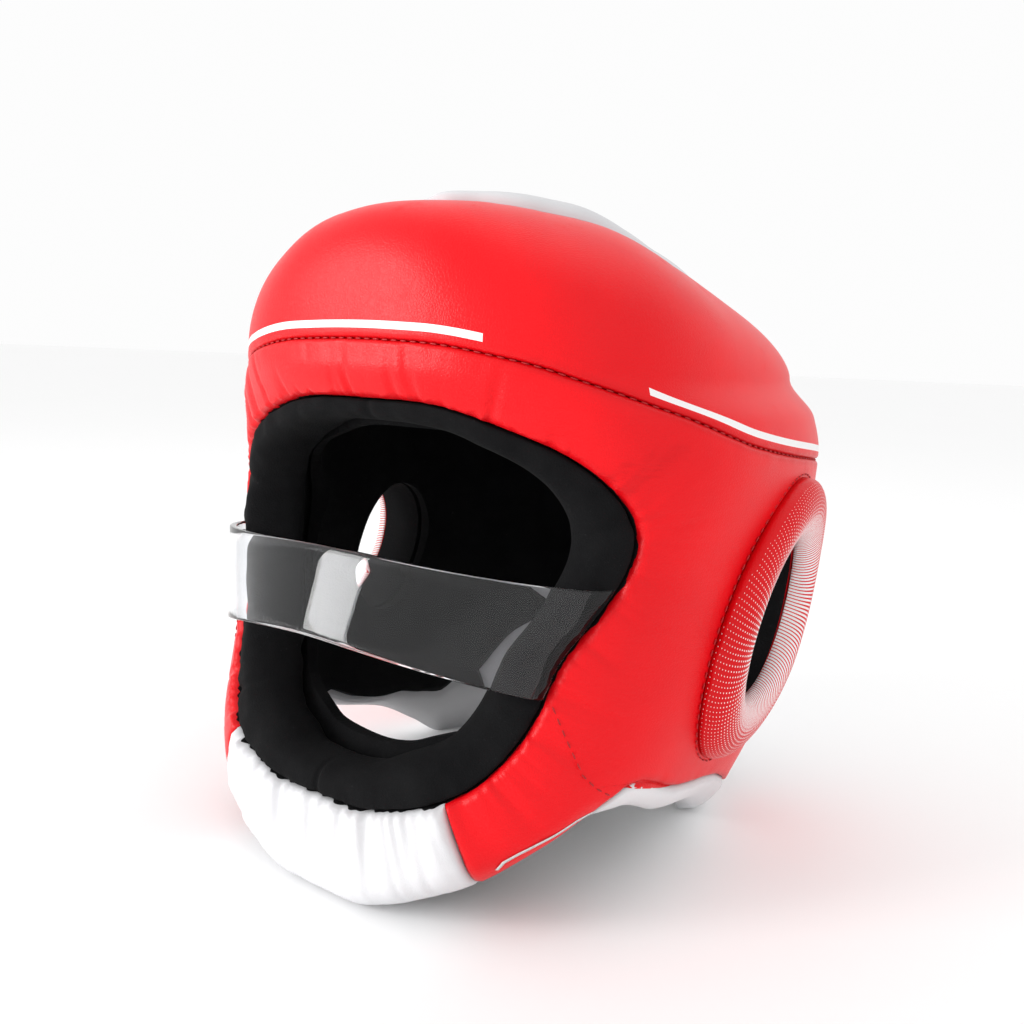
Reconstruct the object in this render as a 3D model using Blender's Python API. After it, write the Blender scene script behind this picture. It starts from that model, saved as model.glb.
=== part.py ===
"""Full-face boxing headgear: padded shell, chin pad, ear rings, liner and a clear face bar.

The head faces -Y, the wearer's left is +X and the headgear stands on its chin pad and its
two lobes behind the ears. Every pad is a panel of one shell form, which is described by its
sections from the table up, so the panels meet at their seams whatever the sizes are.
"""

import math

import bmesh
import bpy
from mathutils import Vector

# Driving sizes of the shell, in metres
SHELL_HALF_WIDTH = 0.111
SHELL_HEIGHT = 0.249
FRONT_LENGTH = 0.1215
BACK_LENGTH = 0.1285
CROWN_START = 0.190
CROWN_RISE = 0.005
PAD_THICKNESS = 0.022
LINER_THICKNESS = 0.004
LINER_GAP = 0.0024
LINER_RAISE = 0.003
SEAM_GAP = 0.0003

# How much the edges of the pads are rolled, as radii in metres
SEAM_ROLL = 0.004
RIM_ROLL = 0.007
LOWER_ROLL = 0.014

# How square the shell is from above and how full the crown pad is, as exponents
PLAN_FRONT = 2.9
PLAN_BACK = 2.4
CROWN_EDGE = 9

# Sections of the shell, from the table up. height is a share of SHELL_HEIGHT, half_width of
# SHELL_HALF_WIDTH, front of FRONT_LENGTH and back of BACK_LENGTH
SECTION_COLUMNS = ("height", "half_width", "front", "back")
SECTIONS = (
    (0.00, 0.79, 1.00, 0.70),
    (0.16, 0.90, 0.98, 0.88),
    (0.32, 0.98, 0.865, 0.955),
    (0.48, 1.015, 0.815, 1.01),
    (0.64, 1.045, 0.766, 1.025),
    (0.70, 1.02, 0.798, 1.00),
    (0.763, 0.920, 0.850, 0.915),
)

# How square the shell turns over the crown, as an exponent, by degrees from the front
CROWN_TURN = (
    (0, 6.0),
    (15, 4.8),
    (30, 3.3),
    (45, 2.55),
    (60, 2.25),
    (75, 1.95),
    (90, 1.72),
    (120, 1.47),
    (150, 1.55),
    (180, 1.8),
)

# Lower edge of the shell round the head, from the chin at 0 degrees to the nape at 180.
# height is a share of JAW_RISE
JAW_RISE = 0.040
LOWER_EDGE = (
    (0, 0.00),
    (8, 0.00),
    (14, 0.07),
    (22, 0.22),
    (31, 0.40),
    (42, 0.72),
    (51, 0.95),
    (56, 0.95),
    (70, 0.70),
    (90, 0.50),
    (104, 0.24),
    (117, 0.00),
    (127, 0.00),
    (145, 0.55),
    (165, 0.92),
    (180, 1.00),
)

# Seam under the brow pad, by degrees from the front, as a share of SHELL_HEIGHT
BROW_SEAM = (
    (0, 0.795),
    (16, 0.792),
    (34, 0.772),
    (47, 0.744),
    (60, 0.713),
    (80, 0.667),
    (106, 0.640),
    (130, 0.625),
)

# Top edge of the brow and rear pads seen from above, by degrees from the front, as a share of
# the section's reach at CROWN_START
TOP_RIM = (
    (0, 0.57),
    (15, 0.52),
    (30, 0.50),
    (45, 0.47),
    (60, 0.48),
    (90, 0.52),
    (105, 0.54),
    (120, 0.59),
    (150, 0.70),
    (180, 0.80),
)

# The white band along the lower edge, from its point on the jaw to its full height
NAPE_BAND = 0.015
BAND_POINT = 44.0
BAND_FULL = 58.0
BAND_END = 50.0

# How far the nape band rises from its outer side to its inner side, in metres, by degrees from
# the front
LOWER_LIFT = (
    (0, 0.000),
    (50, 0.000),
    (65, 0.002),
    (80, 0.003),
    (101, 0.010),
    (115, 0.018),
    (127, 0.023),
    (145, 0.023),
    (180, 0.020),
)

# The side ends of the brow pad and the cheek shell, in degrees from the front
SIDE_END = 130.0

# Face opening: its outline from the front, round a centre on the middle plane. angle is in
# degrees from straight up and reach is a share of OPENING_REACH
OPENING_CENTRE = 0.092
OPENING_REACH = 0.109
OPENING_OUTLINE = (
    (0, 0.785),
    (30, 0.862),
    (60, 1.00),
    (90, 0.730),
    (120, 0.670),
    (150, 0.552),
    (180, 0.494),
)
CHIN_HALF_SPAN = 50
CHIN_FOOT = 31.0

# Columns of facets: pads that meet at a seam share its points
BROW_COLUMNS = 14
BACK_EDGE_COLUMNS = 5
JAW_COLUMNS = 2
BAND_STEP = 10
SEAM_ROWS = 10
CHIN_COLUMNS = 16

# Width of the black ring round the face opening, as a share of LINING_WIDTH
LINING_WIDTH = 0.018
LINING_WIDTHS = (
    (0, 0.46),
    (40, 0.62),
    (75, 0.95),
    (105, 1.00),
    (130, 1.00),
    (155, 0.76),
    (180, 0.62),
)
LINING_SEAT = 0.0006
LINING_SET_BACK = 0.002
LINING_SQUARENESS = 2.6
LINING_COLUMNS = 60

# Ears: the hole through the shell and the padded ring round it
EAR_BACK = 0.0085
EAR_HEIGHT = 0.100
EAR_LEAN = 32.0
HOLE_HALF_WIDTH = 0.0185
HOLE_HALF_HEIGHT = 0.0295
RING_HALF_WIDTH = 0.0375
RING_HALF_HEIGHT = 0.0575
RING_RISE = 0.0105

# Clear bar across the face: from its low edge to its top edge, and the places round the face
# opening, in degrees from straight up, where its ends meet the seam
BAR_THICKNESS = 0.0035
BAR_AXIS = 0.050
BAR_TOP_FRONT = 0.118
BAR_TOP_HALF_WIDTH = 0.0945
BAR_TOP_HEIGHT = 0.128
BAR_LOW_FRONT = 0.125
BAR_LOW_HALF_WIDTH = 0.0855
BAR_LOW_HEIGHT = 0.098
BAR_TOP_DROP = 0.0085
BAR_LOW_DROP = 0.0150
BAR_TOP_SEAT = 73.0
BAR_LOW_SEAT = 97.0
BAR_TOP_REACH = 75.0
BAR_LOW_REACH = 62.5
BAR_PLAN = 2.5
BAR_SINK = 0.0007

RED = (0.84, 0.012, 0.022, 1.0)
WHITE = (0.86, 0.86, 0.87, 1.0)
BLACK = (0.012, 0.012, 0.013, 1.0)
CLEAR = (0.95, 0.97, 1.0, 1.0)


BAND_COLUMNS = round((SIDE_END - BAND_END) / BAND_STEP)
REAR_COLUMNS = round(2 * (180 - SIDE_END) / BAND_STEP)
CHEEK_COLUMNS = BROW_COLUMNS + BACK_EDGE_COLUMNS + BAND_COLUMNS + JAW_COLUMNS


def read_curve(rows, place, column=1):
    """The value of a table's column at a place along its first one, on a curve with no overshoot."""
    place = min(max(place, rows[0][0]), rows[-1][0])
    steps = [(b[column] - a[column]) / (b[0] - a[0]) for a, b in zip(rows, rows[1:])]
    slopes = [0.0]
    for before, after in zip(steps, steps[1:]):
        slopes.append(0.0 if before * after <= 0 else 2 * before * after / (before + after))
    slopes.append(0.0)
    row = next(i for i in range(len(rows) - 1) if place <= rows[i + 1][0])
    width = rows[row + 1][0] - rows[row][0]
    t = (place - rows[row][0]) / width
    start = rows[row][column] * (2 * t**3 - 3 * t**2 + 1) + slopes[row] * width * (t**3 - 2 * t**2 + t)
    end = rows[row + 1][column] * (3 * t**2 - 2 * t**3) + slopes[row + 1] * width * (t**3 - t**2)
    return start + end


def around(angle):
    """Degrees from the front, the same on both sides."""
    return abs((math.degrees(angle) + 180) % 360 - 180)


def eased_step(value, start, end):
    share = min(max((value - start) / (end - start), 0.0), 1.0)
    return share * share * (3 - 2 * share)


def lower_edge(angle):
    return JAW_RISE * read_curve(LOWER_EDGE, around(angle))


def lower_lift(angle, depth):
    return read_curve(LOWER_LIFT, around(angle)) * depth / PAD_THICKNESS


def band_top(angle, depth=0.0):
    """Height of the lower border of the red shell, which is the band's top where there is a band."""
    top = lower_edge(angle) + NAPE_BAND * eased_step(around(angle), BAND_POINT, BAND_FULL)
    return top + lower_lift(angle, depth)


def brow_seam(angle):
    return SHELL_HEIGHT * read_curve(BROW_SEAM, around(angle))


def crown_level(climb):
    """The level at which the shell, turning over the crown, has made a share of its rise."""
    return CROWN_START + (SHELL_HEIGHT - CROWN_START) * math.asin(climb)


def top_rim(angle):
    form = read_curve(CROWN_TURN, around(angle))
    return crown_level((1 - read_curve(TOP_RIM, around(angle)) ** form) ** (1 / form))


def rolled(distance, radius):
    """How far a rolled edge falls back at a distance from it."""
    if distance >= radius:
        return 0.0
    return radius - math.sqrt(max(radius**2 - (radius - max(distance, 0.0)) ** 2, 0.0))


def section(height, column, size):
    return size * read_curve(SECTIONS, height / SHELL_HEIGHT, SECTION_COLUMNS.index(column))


def shell_point(angle, level, depth=0.0):
    """A point of the shell: angle from the front towards +X, level up it, and depth into the pad."""
    rise = SHELL_HEIGHT - CROWN_START
    base = min(level, CROWN_START)
    turn = min(max((level - CROWN_START) / rise, 0.0), math.pi / 2)
    climb = math.sin(turn)
    depth += rolled(base - lower_edge(angle), LOWER_ROLL) * max(1 - depth / PAD_THICKNESS, 0.0)
    side = section(base, "half_width", SHELL_HALF_WIDTH) - depth
    front = section(base, "front", FRONT_LENGTH) - depth
    back = section(base, "back", BACK_LENGTH) - depth
    form = read_curve(CROWN_TURN, around(angle))
    height = base + climb * (rise - depth)
    if turn >= math.pi / 2:
        return Vector((0.0, 0.0, height))
    sine, cosine = abs(math.sin(angle)), math.cos(angle)
    square = PLAN_FRONT if cosine > 0 else PLAN_BACK
    along = front if cosine > 0 else back
    reach = ((sine / side) ** square + (abs(cosine) / along) ** square) ** (-1 / square)
    reach *= (1 - climb**form) ** (1 / form)
    return Vector((reach * math.sin(angle), -reach * cosine, height))


def opening_border(turn, inset=0.0):
    """(angle, level) on the shell of the face opening's border, turn degrees from straight up."""
    reach = OPENING_REACH * read_curve(OPENING_OUTLINE, around(math.radians(turn))) - inset
    across = reach * math.sin(math.radians(turn))
    height = OPENING_CENTRE + reach * math.cos(math.radians(turn))
    side = section(height, "half_width", SHELL_HALF_WIDTH)
    front = section(height, "front", FRONT_LENGTH)
    ahead = front * (1 - (abs(across) / side) ** PLAN_FRONT) ** (1 / PLAN_FRONT)
    return math.atan2(across, ahead), height


def cheek_border(turn, depth=0.0):
    """(angle, level) of the cheek shell's outer border: brow seam, end behind the ear, lower edge."""
    place = abs(turn) / (180 - CHIN_HALF_SPAN) * CHEEK_COLUMNS
    end = math.radians(SIDE_END)
    band_end = math.radians(BAND_END)
    corner = BROW_COLUMNS + BACK_EDGE_COLUMNS
    if place <= BROW_COLUMNS:
        angle = end * place / BROW_COLUMNS
        level = brow_seam(angle)
    elif place <= corner:
        angle = end
        level = mix(brow_seam(end), band_top(end, depth), (place - BROW_COLUMNS) / BACK_EDGE_COLUMNS)
    elif place <= corner + BAND_COLUMNS:
        angle = mix(end, band_end, (place - corner) / BAND_COLUMNS)
        level = band_top(angle, depth)
    else:
        part = (place - corner - BAND_COLUMNS) / JAW_COLUMNS
        angle = mix(band_end, math.radians(CHIN_FOOT), min(part, 1.0))
        level = band_top(angle, depth)
    return math.copysign(angle, turn), level


def eased(share, grip=0.55):
    """A share from 0 to 1 with its steps drawn towards both ends."""
    return share - grip * math.sin(2 * math.pi * share) / (2 * math.pi)


def mix(a, b, share):
    return a + (b - a) * share


def face_outwards(bm):
    """Makes triangles, split the same way on both sides of a seam, that face outwards."""
    bmesh.ops.triangulate(bm, faces=bm.faces[:], quad_method="SHORT_EDGE", ngon_method="BEAUTY")
    bmesh.ops.recalc_face_normals(bm, faces=bm.faces)
    if bm.calc_volume(signed=True) < 0:
        bmesh.ops.reverse_faces(bm, faces=bm.faces)


def new_object(name, bm, colour, roughness=0.45):
    face_outwards(bm)
    mesh = bpy.data.meshes.new(name)
    bm.to_mesh(mesh)
    bm.free()
    mesh.shade_smooth()
    mesh.set_sharp_from_angle(angle=math.radians(35))
    material = bpy.data.materials.new(name)
    material.use_nodes = True
    shader = material.node_tree.nodes["Principled BSDF"]
    shader.inputs["Base Color"].default_value = colour
    shader.inputs["Roughness"].default_value = roughness
    mesh.materials.append(material)
    obj = bpy.data.objects.new(name, mesh)
    PARTS.objects.link(obj)
    return obj


def distance_to(point, line):
    """The distance from a point to a line of points."""
    nearest = math.inf
    for start, end in zip(line, line[1:]):
        run = end - start
        share = min(max((point - start).dot(run) / max(run.length_squared, 1e-12), 0.0), 1.0)
        nearest = min(nearest, (point - start - run * share).length)
    return nearest


def panel(name, columns, rows, place, rolls, colour, thickness=PAD_THICKNESS, easing=(False, True)):
    """A closed pad: place(u, v, depth) gives its points, and rolls the radius of each rolled side."""
    bm = bmesh.new()
    bmesh.ops.create_grid(bm, x_segments=columns, y_segments=rows, size=0.5)
    outer = {}
    for vert in bm.verts:
        u, v = (min(max(value + 0.5, 0.0), 1.0) for value in vert.co[:2])
        outer[vert] = (eased(u) if easing[0] else u, eased(v) if easing[1] else v)
    samples = [step / 60 for step in range(61)]
    sides = {
        "left": [place(0, s, 0) for s in samples],
        "right": [place(1, s, 0) for s in samples],
        "low": [place(s, 0, 0) for s in samples],
        "high": [place(s, 1, 0) for s in samples],
    }
    made = bmesh.ops.extrude_face_region(bm, geom=bm.faces[:])
    inner = [item for item in made["geom"] if isinstance(item, bmesh.types.BMVert)]
    for vert in inner:
        u, v = (min(max(value + 0.5, 0.0), 1.0) for value in vert.co[:2])
        vert.co = place(eased(u) if easing[0] else u, eased(v) if easing[1] else v, thickness)
    for vert, (u, v) in outer.items():
        surface = place(u, v, 0)
        fall = max([rolled(distance_to(surface, sides[side]), rolls[side]) for side in rolls], default=0.0)
        vert.co = place(u, v, fall)
    return new_object(name, bm, colour)


def loop_solid(name, turns, sides, place, colour):
    """A closed ring: place(turn, side) gives its points, both from 0 to 1."""
    bm = bmesh.new()
    bmesh.ops.create_grid(bm, x_segments=turns, y_segments=sides, size=0.5)
    for vert in bm.verts:
        vert.co = place(wrapped(vert.co.x), wrapped(vert.co.y))
    bmesh.ops.remove_doubles(bm, verts=bm.verts, dist=1e-6)
    return new_object(name, bm, colour)


def wrapped(value):
    """The share of a full turn of a grid's x, whose last column meets its first."""
    return (value + 0.5) % 1.0 if value < 0.4999 else 0.0


def wrapped_grid(columns, rows, pole):
    """A grid and its copy, joined at one border only: x goes once round and y ends at a pole."""
    bm = bmesh.new()
    bmesh.ops.create_grid(bm, x_segments=columns, y_segments=rows, size=0.5)
    made = bmesh.ops.extrude_face_region(bm, geom=bm.faces[:])
    inner = {item for item in made["geom"] if isinstance(item, bmesh.types.BMVert)}

    def shared(face):
        on_ends = any(all(abs(vert.co.x - end) < 1e-4 for vert in face.verts) for end in (-0.5, 0.5))
        return on_ends or all(abs(vert.co.y - pole) < 1e-4 for vert in face.verts)

    bmesh.ops.delete(bm, geom=[face for face in bm.faces if shared(face)], context="FACES_ONLY")
    return bm, inner


def make_brow_pad():
    end = math.radians(SIDE_END) - SEAM_GAP / SHELL_HALF_WIDTH

    def place(u, v, depth):
        angle = mix(-end, end, u)
        low = brow_seam(angle) + 2.5 * SEAM_GAP
        return shell_point(angle, mix(low, top_rim(angle), v), depth)

    rolls = {"low": SEAM_ROLL, "high": RIM_ROLL, "left": SEAM_ROLL, "right": SEAM_ROLL}
    return panel("brow_pad", 2 * BROW_COLUMNS, 8, place, rolls, RED)


def make_cheek_shell():
    last = 180 - CHIN_HALF_SPAN

    def place(u, v, depth):
        turn = mix(-last, last, u)
        near, near_level = opening_border(turn)
        far, far_level = cheek_border(turn, depth)
        return shell_point(mix(near, far, v), mix(near_level, far_level, v), depth)

    rolls = {side: SEAM_ROLL for side in ("low", "high", "left", "right")}
    return panel("cheek_shell", 2 * CHEEK_COLUMNS, SEAM_ROWS, place, rolls, RED)


def make_chin_pad():
    gap = SEAM_GAP / FRONT_LENGTH

    def place(u, v, depth):
        turn = mix(180 - CHIN_HALF_SPAN, 180 + CHIN_HALF_SPAN, u)
        near, near_level = opening_border(turn)
        foot = math.radians(mix(CHIN_FOOT, -CHIN_FOOT, u))
        angle = mix(foot, near, v)
        return shell_point(angle - gap * (1 - 2 * u), mix(lower_edge(foot), near_level, v), depth)

    rolls = {side: SEAM_ROLL for side in ("high", "left", "right")}
    return panel("chin_pad", CHIN_COLUMNS, SEAM_ROWS, place, rolls, WHITE)


def make_rear_pad():
    start = math.radians(SIDE_END) + SEAM_GAP / SHELL_HALF_WIDTH

    def place(u, v, depth):
        angle = mix(start, 2 * math.pi - start, u)
        return shell_point(angle, mix(band_top(angle, depth) + SEAM_GAP, top_rim(angle), v), depth)

    rolls = {"low": SEAM_ROLL, "high": RIM_ROLL, "left": SEAM_ROLL, "right": SEAM_ROLL}
    return panel("rear_pad", REAR_COLUMNS, 12, place, rolls, WHITE)


def make_nape_band():
    start = math.radians(BAND_END)

    def place(u, v, depth):
        angle = mix(start, 2 * math.pi - start, u)
        low = lower_edge(angle) + lower_lift(angle, depth)
        return shell_point(angle, mix(low, band_top(angle, depth) - 4 * SEAM_GAP, v), depth)

    columns = 2 * BAND_COLUMNS + REAR_COLUMNS
    return panel("nape_band", columns, 3, place, {"high": SEAM_ROLL}, WHITE, easing=(False, False))


def make_crown_pad():
    """A round cushion that closes the top inside the rims of the brow and rear pads."""
    columns, rows = 2 * BROW_COLUMNS + REAR_COLUMNS, 6
    end = math.radians(SIDE_END)

    def rim_angle(turn):
        place = turn * columns - 2 * BROW_COLUMNS
        if place <= 0:
            return mix(end, -end, -place / (2 * BROW_COLUMNS))
        return mix(end, 2 * math.pi - end, place / REAR_COLUMNS)

    def place(angle, share, depth):
        level = mix(crown_level(1.0), top_rim(angle) + SEAM_GAP, share)
        return shell_point(angle, level, depth - CROWN_RISE * (1 - share**CROWN_EDGE))

    bm, inner = wrapped_grid(columns, rows, pole=-0.5)
    for vert in bm.verts:
        angle = rim_angle(wrapped(vert.co.x))
        share = math.sin(math.pi / 2 * (vert.co.y + 0.5))
        edge = shell_point(angle, top_rim(angle)).to_2d().length
        fall = rolled(edge * (1 - share), RIM_ROLL)
        vert.co = place(angle, share, PAD_THICKNESS if vert in inner else fall)
    bmesh.ops.remove_doubles(bm, verts=bm.verts, dist=1e-6)
    return new_object("crown_pad", bm, WHITE)


def lining_width(turn):
    return LINING_WIDTH * read_curve(LINING_WIDTHS, around(math.radians(turn)))


def make_face_lining():
    """The black padded ring inside the face opening, which fills the shell's thickness there."""

    def place(turn, side):
        degrees = turn * 360
        spin = 2 * math.pi * side
        power = 2 / LINING_SQUARENESS
        across = math.copysign(abs(math.cos(spin)) ** power, math.cos(spin))
        deep = math.copysign(abs(math.sin(spin)) ** power, math.sin(spin))
        inset = mix(LINING_SEAT, lining_width(degrees), (1 - across) / 2)
        angle, level = opening_border(degrees, inset)
        return shell_point(angle, level, mix(LINING_SET_BACK, PAD_THICKNESS, (deep + 1) / 2))

    return loop_solid("face_lining", LINING_COLUMNS, 10, place, BLACK)


def ear_point(side, spin, half_width, half_height, rise):
    """A point on an ellipse round the ear, lying on the shell or rise above it."""
    lean = math.radians(EAR_LEAN)
    across = half_width * math.cos(spin)
    up = half_height * math.sin(spin)
    back = EAR_BACK + across * math.cos(lean) + up * math.sin(lean)
    height = EAR_HEIGHT - across * math.sin(lean) + up * math.cos(lean)
    half = section(height, "half_width", SHELL_HALF_WIDTH)
    length = section(height, "back" if back > 0 else "front", BACK_LENGTH if back > 0 else FRONT_LENGTH)
    square = PLAN_BACK if back > 0 else PLAN_FRONT
    out = half * (1 - (abs(back) / length) ** square) ** (1 / square)
    return Vector((side * (out + rise), back, height))


def make_ear_ring(name, side):
    def place(turn, around_tube):
        spin = 2 * math.pi * turn
        tube = 2 * math.pi * around_tube
        share = (1 - math.cos(tube)) / 2
        half_width = mix(HOLE_HALF_WIDTH, RING_HALF_WIDTH, share)
        half_height = mix(HOLE_HALF_HEIGHT, RING_HALF_HEIGHT, share)
        rise = SEAM_GAP + RING_RISE * max(math.sin(tube), 0.0) ** 0.8
        return ear_point(side, spin, half_width, half_height, rise)

    return loop_solid(name, 28, 8, place, RED)


def make_ear_cutter(name, side):
    bm = bmesh.new()
    bmesh.ops.create_cone(bm, cap_ends=True, segments=32, radius1=1.0, radius2=1.0, depth=1.0)
    for vert in bm.verts:
        spin = math.atan2(vert.co.y, vert.co.x)
        point = ear_point(side, spin, HOLE_HALF_WIDTH, HOLE_HALF_HEIGHT, 0.0)
        reach = SHELL_HALF_WIDTH + 2 * RING_RISE if vert.co.z > 0 else SHELL_HALF_WIDTH - 3 * PAD_THICKNESS
        vert.co = Vector((side * reach, point.y, point.z))
    return cutter(name, bm)


def make_face_cutter():
    """Cuts the face opening out of the liner, a little behind the black ring."""
    bm = bmesh.new()
    bmesh.ops.create_cone(
        bm, cap_ends=True, segments=LINING_COLUMNS, radius1=1.0, radius2=1.0, depth=1.0
    )
    for vert in bm.verts:
        turn = math.atan2(vert.co.x, vert.co.y)
        reach = OPENING_REACH * read_curve(OPENING_OUTLINE, around(turn)) - lining_width(math.degrees(turn))
        across = reach * math.sin(turn)
        height = OPENING_CENTRE + reach * math.cos(turn)
        vert.co = Vector((across, -FRONT_LENGTH if vert.co.z > 0 else 0.0, height))
    return cutter("face_cutter", bm)


def cutter(name, bm):
    face_outwards(bm)
    mesh = bpy.data.meshes.new(name)
    bm.to_mesh(mesh)
    bm.free()
    obj = bpy.data.objects.new(name, mesh)
    obj.hide_render = True
    obj.display_type = "WIRE"
    CUTTERS.objects.link(obj)
    return obj


def cut(obj, *tools):
    for tool in tools:
        modifier = obj.modifiers.new(tool.name, "BOOLEAN")
        modifier.operation = "DIFFERENCE"
        modifier.solver = "EXACT"
        modifier.object = tool


def make_inner_liner():
    """A cap of black cloth inside the pads, open at the neck."""
    columns, rows = 32, 12
    front_depth = PAD_THICKNESS + LINER_GAP
    bm, inner = wrapped_grid(columns, rows, pole=0.5)
    apex = crown_level(1.0)
    for vert in bm.verts:
        turn = wrapped(vert.co.x)
        angle = turn * 2 * math.pi
        depth = front_depth + (LINER_THICKNESS if vert in inner else 0.0)
        low = lower_edge(angle) + lower_lift(angle, depth) + LINER_RAISE
        level = mix(low, apex, vert.co.y + 0.5)
        vert.co = shell_point(angle, level, depth)
    bmesh.ops.remove_doubles(bm, verts=bm.verts, dist=1e-6)
    return new_object("inner_liner", bm, BLACK, roughness=0.9)


def make_face_bar():
    """A band bowed round the face, whose ends turn in to the seam of the face opening."""

    def bowed(share, v, depth):
        angle = math.radians(mix(BAR_LOW_REACH, BAR_TOP_REACH, v)) * share
        half = mix(BAR_LOW_HALF_WIDTH, BAR_TOP_HALF_WIDTH, v) - depth
        ahead = mix(BAR_LOW_FRONT, BAR_TOP_FRONT, v) - BAR_AXIS - depth
        across, along = abs(math.sin(angle)) / half, math.cos(angle) / ahead
        radius = (across**BAR_PLAN + along**BAR_PLAN) ** (-1 / BAR_PLAN)
        drop = mix(BAR_LOW_DROP, BAR_TOP_DROP, v) * share**2
        height = mix(BAR_LOW_HEIGHT, BAR_TOP_HEIGHT, v) - drop
        return Vector((radius * math.sin(angle), -BAR_AXIS - radius * math.cos(angle), height))

    def place(u, v, depth):
        share = 2 * u - 1
        turn = math.copysign(mix(BAR_LOW_SEAT, BAR_TOP_SEAT, v), share)
        angle, level = opening_border(turn, depth - BAR_THICKNESS / 2)
        return bowed(share, v, depth).lerp(shell_point(angle, level, BAR_SINK), abs(share) ** 4)

    return panel("face_bar", 40, 1, place, {}, CLEAR, BAR_THICKNESS, easing=(False, False))


def stand_at_origin():
    """Moves the whole headgear so that its box stands on the origin at its bottom centre."""
    corners = [vert.co for obj in PARTS.objects for vert in obj.data.vertices]
    low = Vector(min(point[axis] for point in corners) for axis in range(3))
    high = Vector(max(point[axis] for point in corners) for axis in range(3))
    shift = Vector((-(low.x + high.x) / 2, -(low.y + high.y) / 2, -low.z))
    for obj in (*PARTS.objects, *CUTTERS.objects):
        for vert in obj.data.vertices:
            vert.co += shift


for old in list(bpy.data.objects):
    bpy.data.objects.remove(old)
PARTS = bpy.data.collections.new("boxing_headgear")
CUTTERS = bpy.data.collections.new("cutters")
for collection in (PARTS, CUTTERS):
    bpy.context.scene.collection.children.link(collection)

ear_cutters = (make_ear_cutter("ear_cutter_left", 1), make_ear_cutter("ear_cutter_right", -1))
make_brow_pad()
cut(make_cheek_shell(), *ear_cutters)
make_chin_pad()
make_rear_pad()
make_nape_band()
make_crown_pad()
make_face_lining()
cut(make_inner_liner(), make_face_cutter(), *ear_cutters)
make_ear_ring("ear_ring_left", 1)
make_ear_ring("ear_ring_right", -1)
make_face_bar()
stand_at_origin()
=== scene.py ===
"""Looks of a padded full-face boxing headgear: leather shell, chin pad, ear rings, lining, bar.

The head faces -Y, the wearer's left is +X and the headgear stands on its chin pad and its two
lobes behind the ears. The shell's named sizes are those of the part, so each soft piece is
shaped from the same shell form as the solid that it stands for. Small things differ from the
part: the ear holes are wider, the ear rings lower, the lining is rounder and nearer the front,
and the bar's ends lie deeper in the seam.
"""

import math

import bmesh
import bpy
from mathutils import Matrix, Vector, noise


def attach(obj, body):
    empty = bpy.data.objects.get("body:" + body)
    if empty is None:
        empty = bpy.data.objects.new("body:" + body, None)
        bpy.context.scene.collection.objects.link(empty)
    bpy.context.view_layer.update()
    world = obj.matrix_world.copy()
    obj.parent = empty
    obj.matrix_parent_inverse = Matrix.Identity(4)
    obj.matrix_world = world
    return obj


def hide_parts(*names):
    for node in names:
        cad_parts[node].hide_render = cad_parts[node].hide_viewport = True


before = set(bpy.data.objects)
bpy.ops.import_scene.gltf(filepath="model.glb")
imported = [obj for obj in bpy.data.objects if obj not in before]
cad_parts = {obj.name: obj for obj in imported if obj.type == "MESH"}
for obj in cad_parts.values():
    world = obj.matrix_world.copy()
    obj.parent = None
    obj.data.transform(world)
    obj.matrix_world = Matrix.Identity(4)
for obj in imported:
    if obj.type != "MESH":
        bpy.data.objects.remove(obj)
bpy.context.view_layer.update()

# Driving sizes of the shell, in metres, as in the part
SHELL_HALF_WIDTH = 0.111
SHELL_HEIGHT = 0.249
FRONT_LENGTH = 0.1215
BACK_LENGTH = 0.1285
CROWN_START = 0.190
CROWN_RISE = 0.005
PAD_THICKNESS = 0.022
LINER_THICKNESS = 0.004
LINER_GAP = 0.0024
LINER_RAISE = 0.003
LINER_OVERLAP = 0.003
SEAM_GAP = 0.0003
LOWER_ROLL = 0.014
FRAME_SHIFT = Vector((0.0, -0.00333, 0.0))

# How much the covers roll in at their seams, as radii in metres
SEAM_ROLL = 0.0022
OPENING_ROLL = 0.0032
RIM_ROLL = 0.007

PLAN_FRONT = 2.9
PLAN_BACK = 2.4
CROWN_EDGE = 9
SECTION_COLUMNS = ("height", "half_width", "front", "back")
SECTIONS = (
    (0.00, 0.79, 1.00, 0.70),
    (0.16, 0.90, 0.98, 0.88),
    (0.32, 0.98, 0.865, 0.955),
    (0.48, 1.015, 0.815, 1.01),
    (0.64, 1.045, 0.766, 1.025),
    (0.70, 1.02, 0.798, 1.00),
    (0.763, 0.920, 0.850, 0.915),
)
CROWN_TURN = (
    (0, 6.0),
    (15, 4.8),
    (30, 3.3),
    (45, 2.55),
    (60, 2.25),
    (75, 1.95),
    (90, 1.72),
    (120, 1.47),
    (150, 1.55),
    (180, 1.8),
)
JAW_RISE = 0.040
LOWER_EDGE = (
    (0, 0.00),
    (8, 0.00),
    (14, 0.07),
    (22, 0.22),
    (31, 0.40),
    (42, 0.72),
    (51, 0.95),
    (56, 0.95),
    (70, 0.70),
    (90, 0.50),
    (104, 0.24),
    (117, 0.00),
    (127, 0.00),
    (145, 0.55),
    (165, 0.92),
    (180, 1.00),
)
BROW_SEAM = (
    (0, 0.795),
    (16, 0.792),
    (34, 0.772),
    (47, 0.744),
    (60, 0.713),
    (80, 0.667),
    (106, 0.640),
    (130, 0.625),
)
TOP_RIM = (
    (0, 0.57),
    (15, 0.52),
    (30, 0.50),
    (45, 0.47),
    (60, 0.48),
    (90, 0.52),
    (105, 0.54),
    (120, 0.59),
    (150, 0.70),
    (180, 0.80),
)
NAPE_BAND = 0.015
BAND_POINT = 44.0
BAND_FULL = 58.0
BAND_END = 50.0
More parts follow.
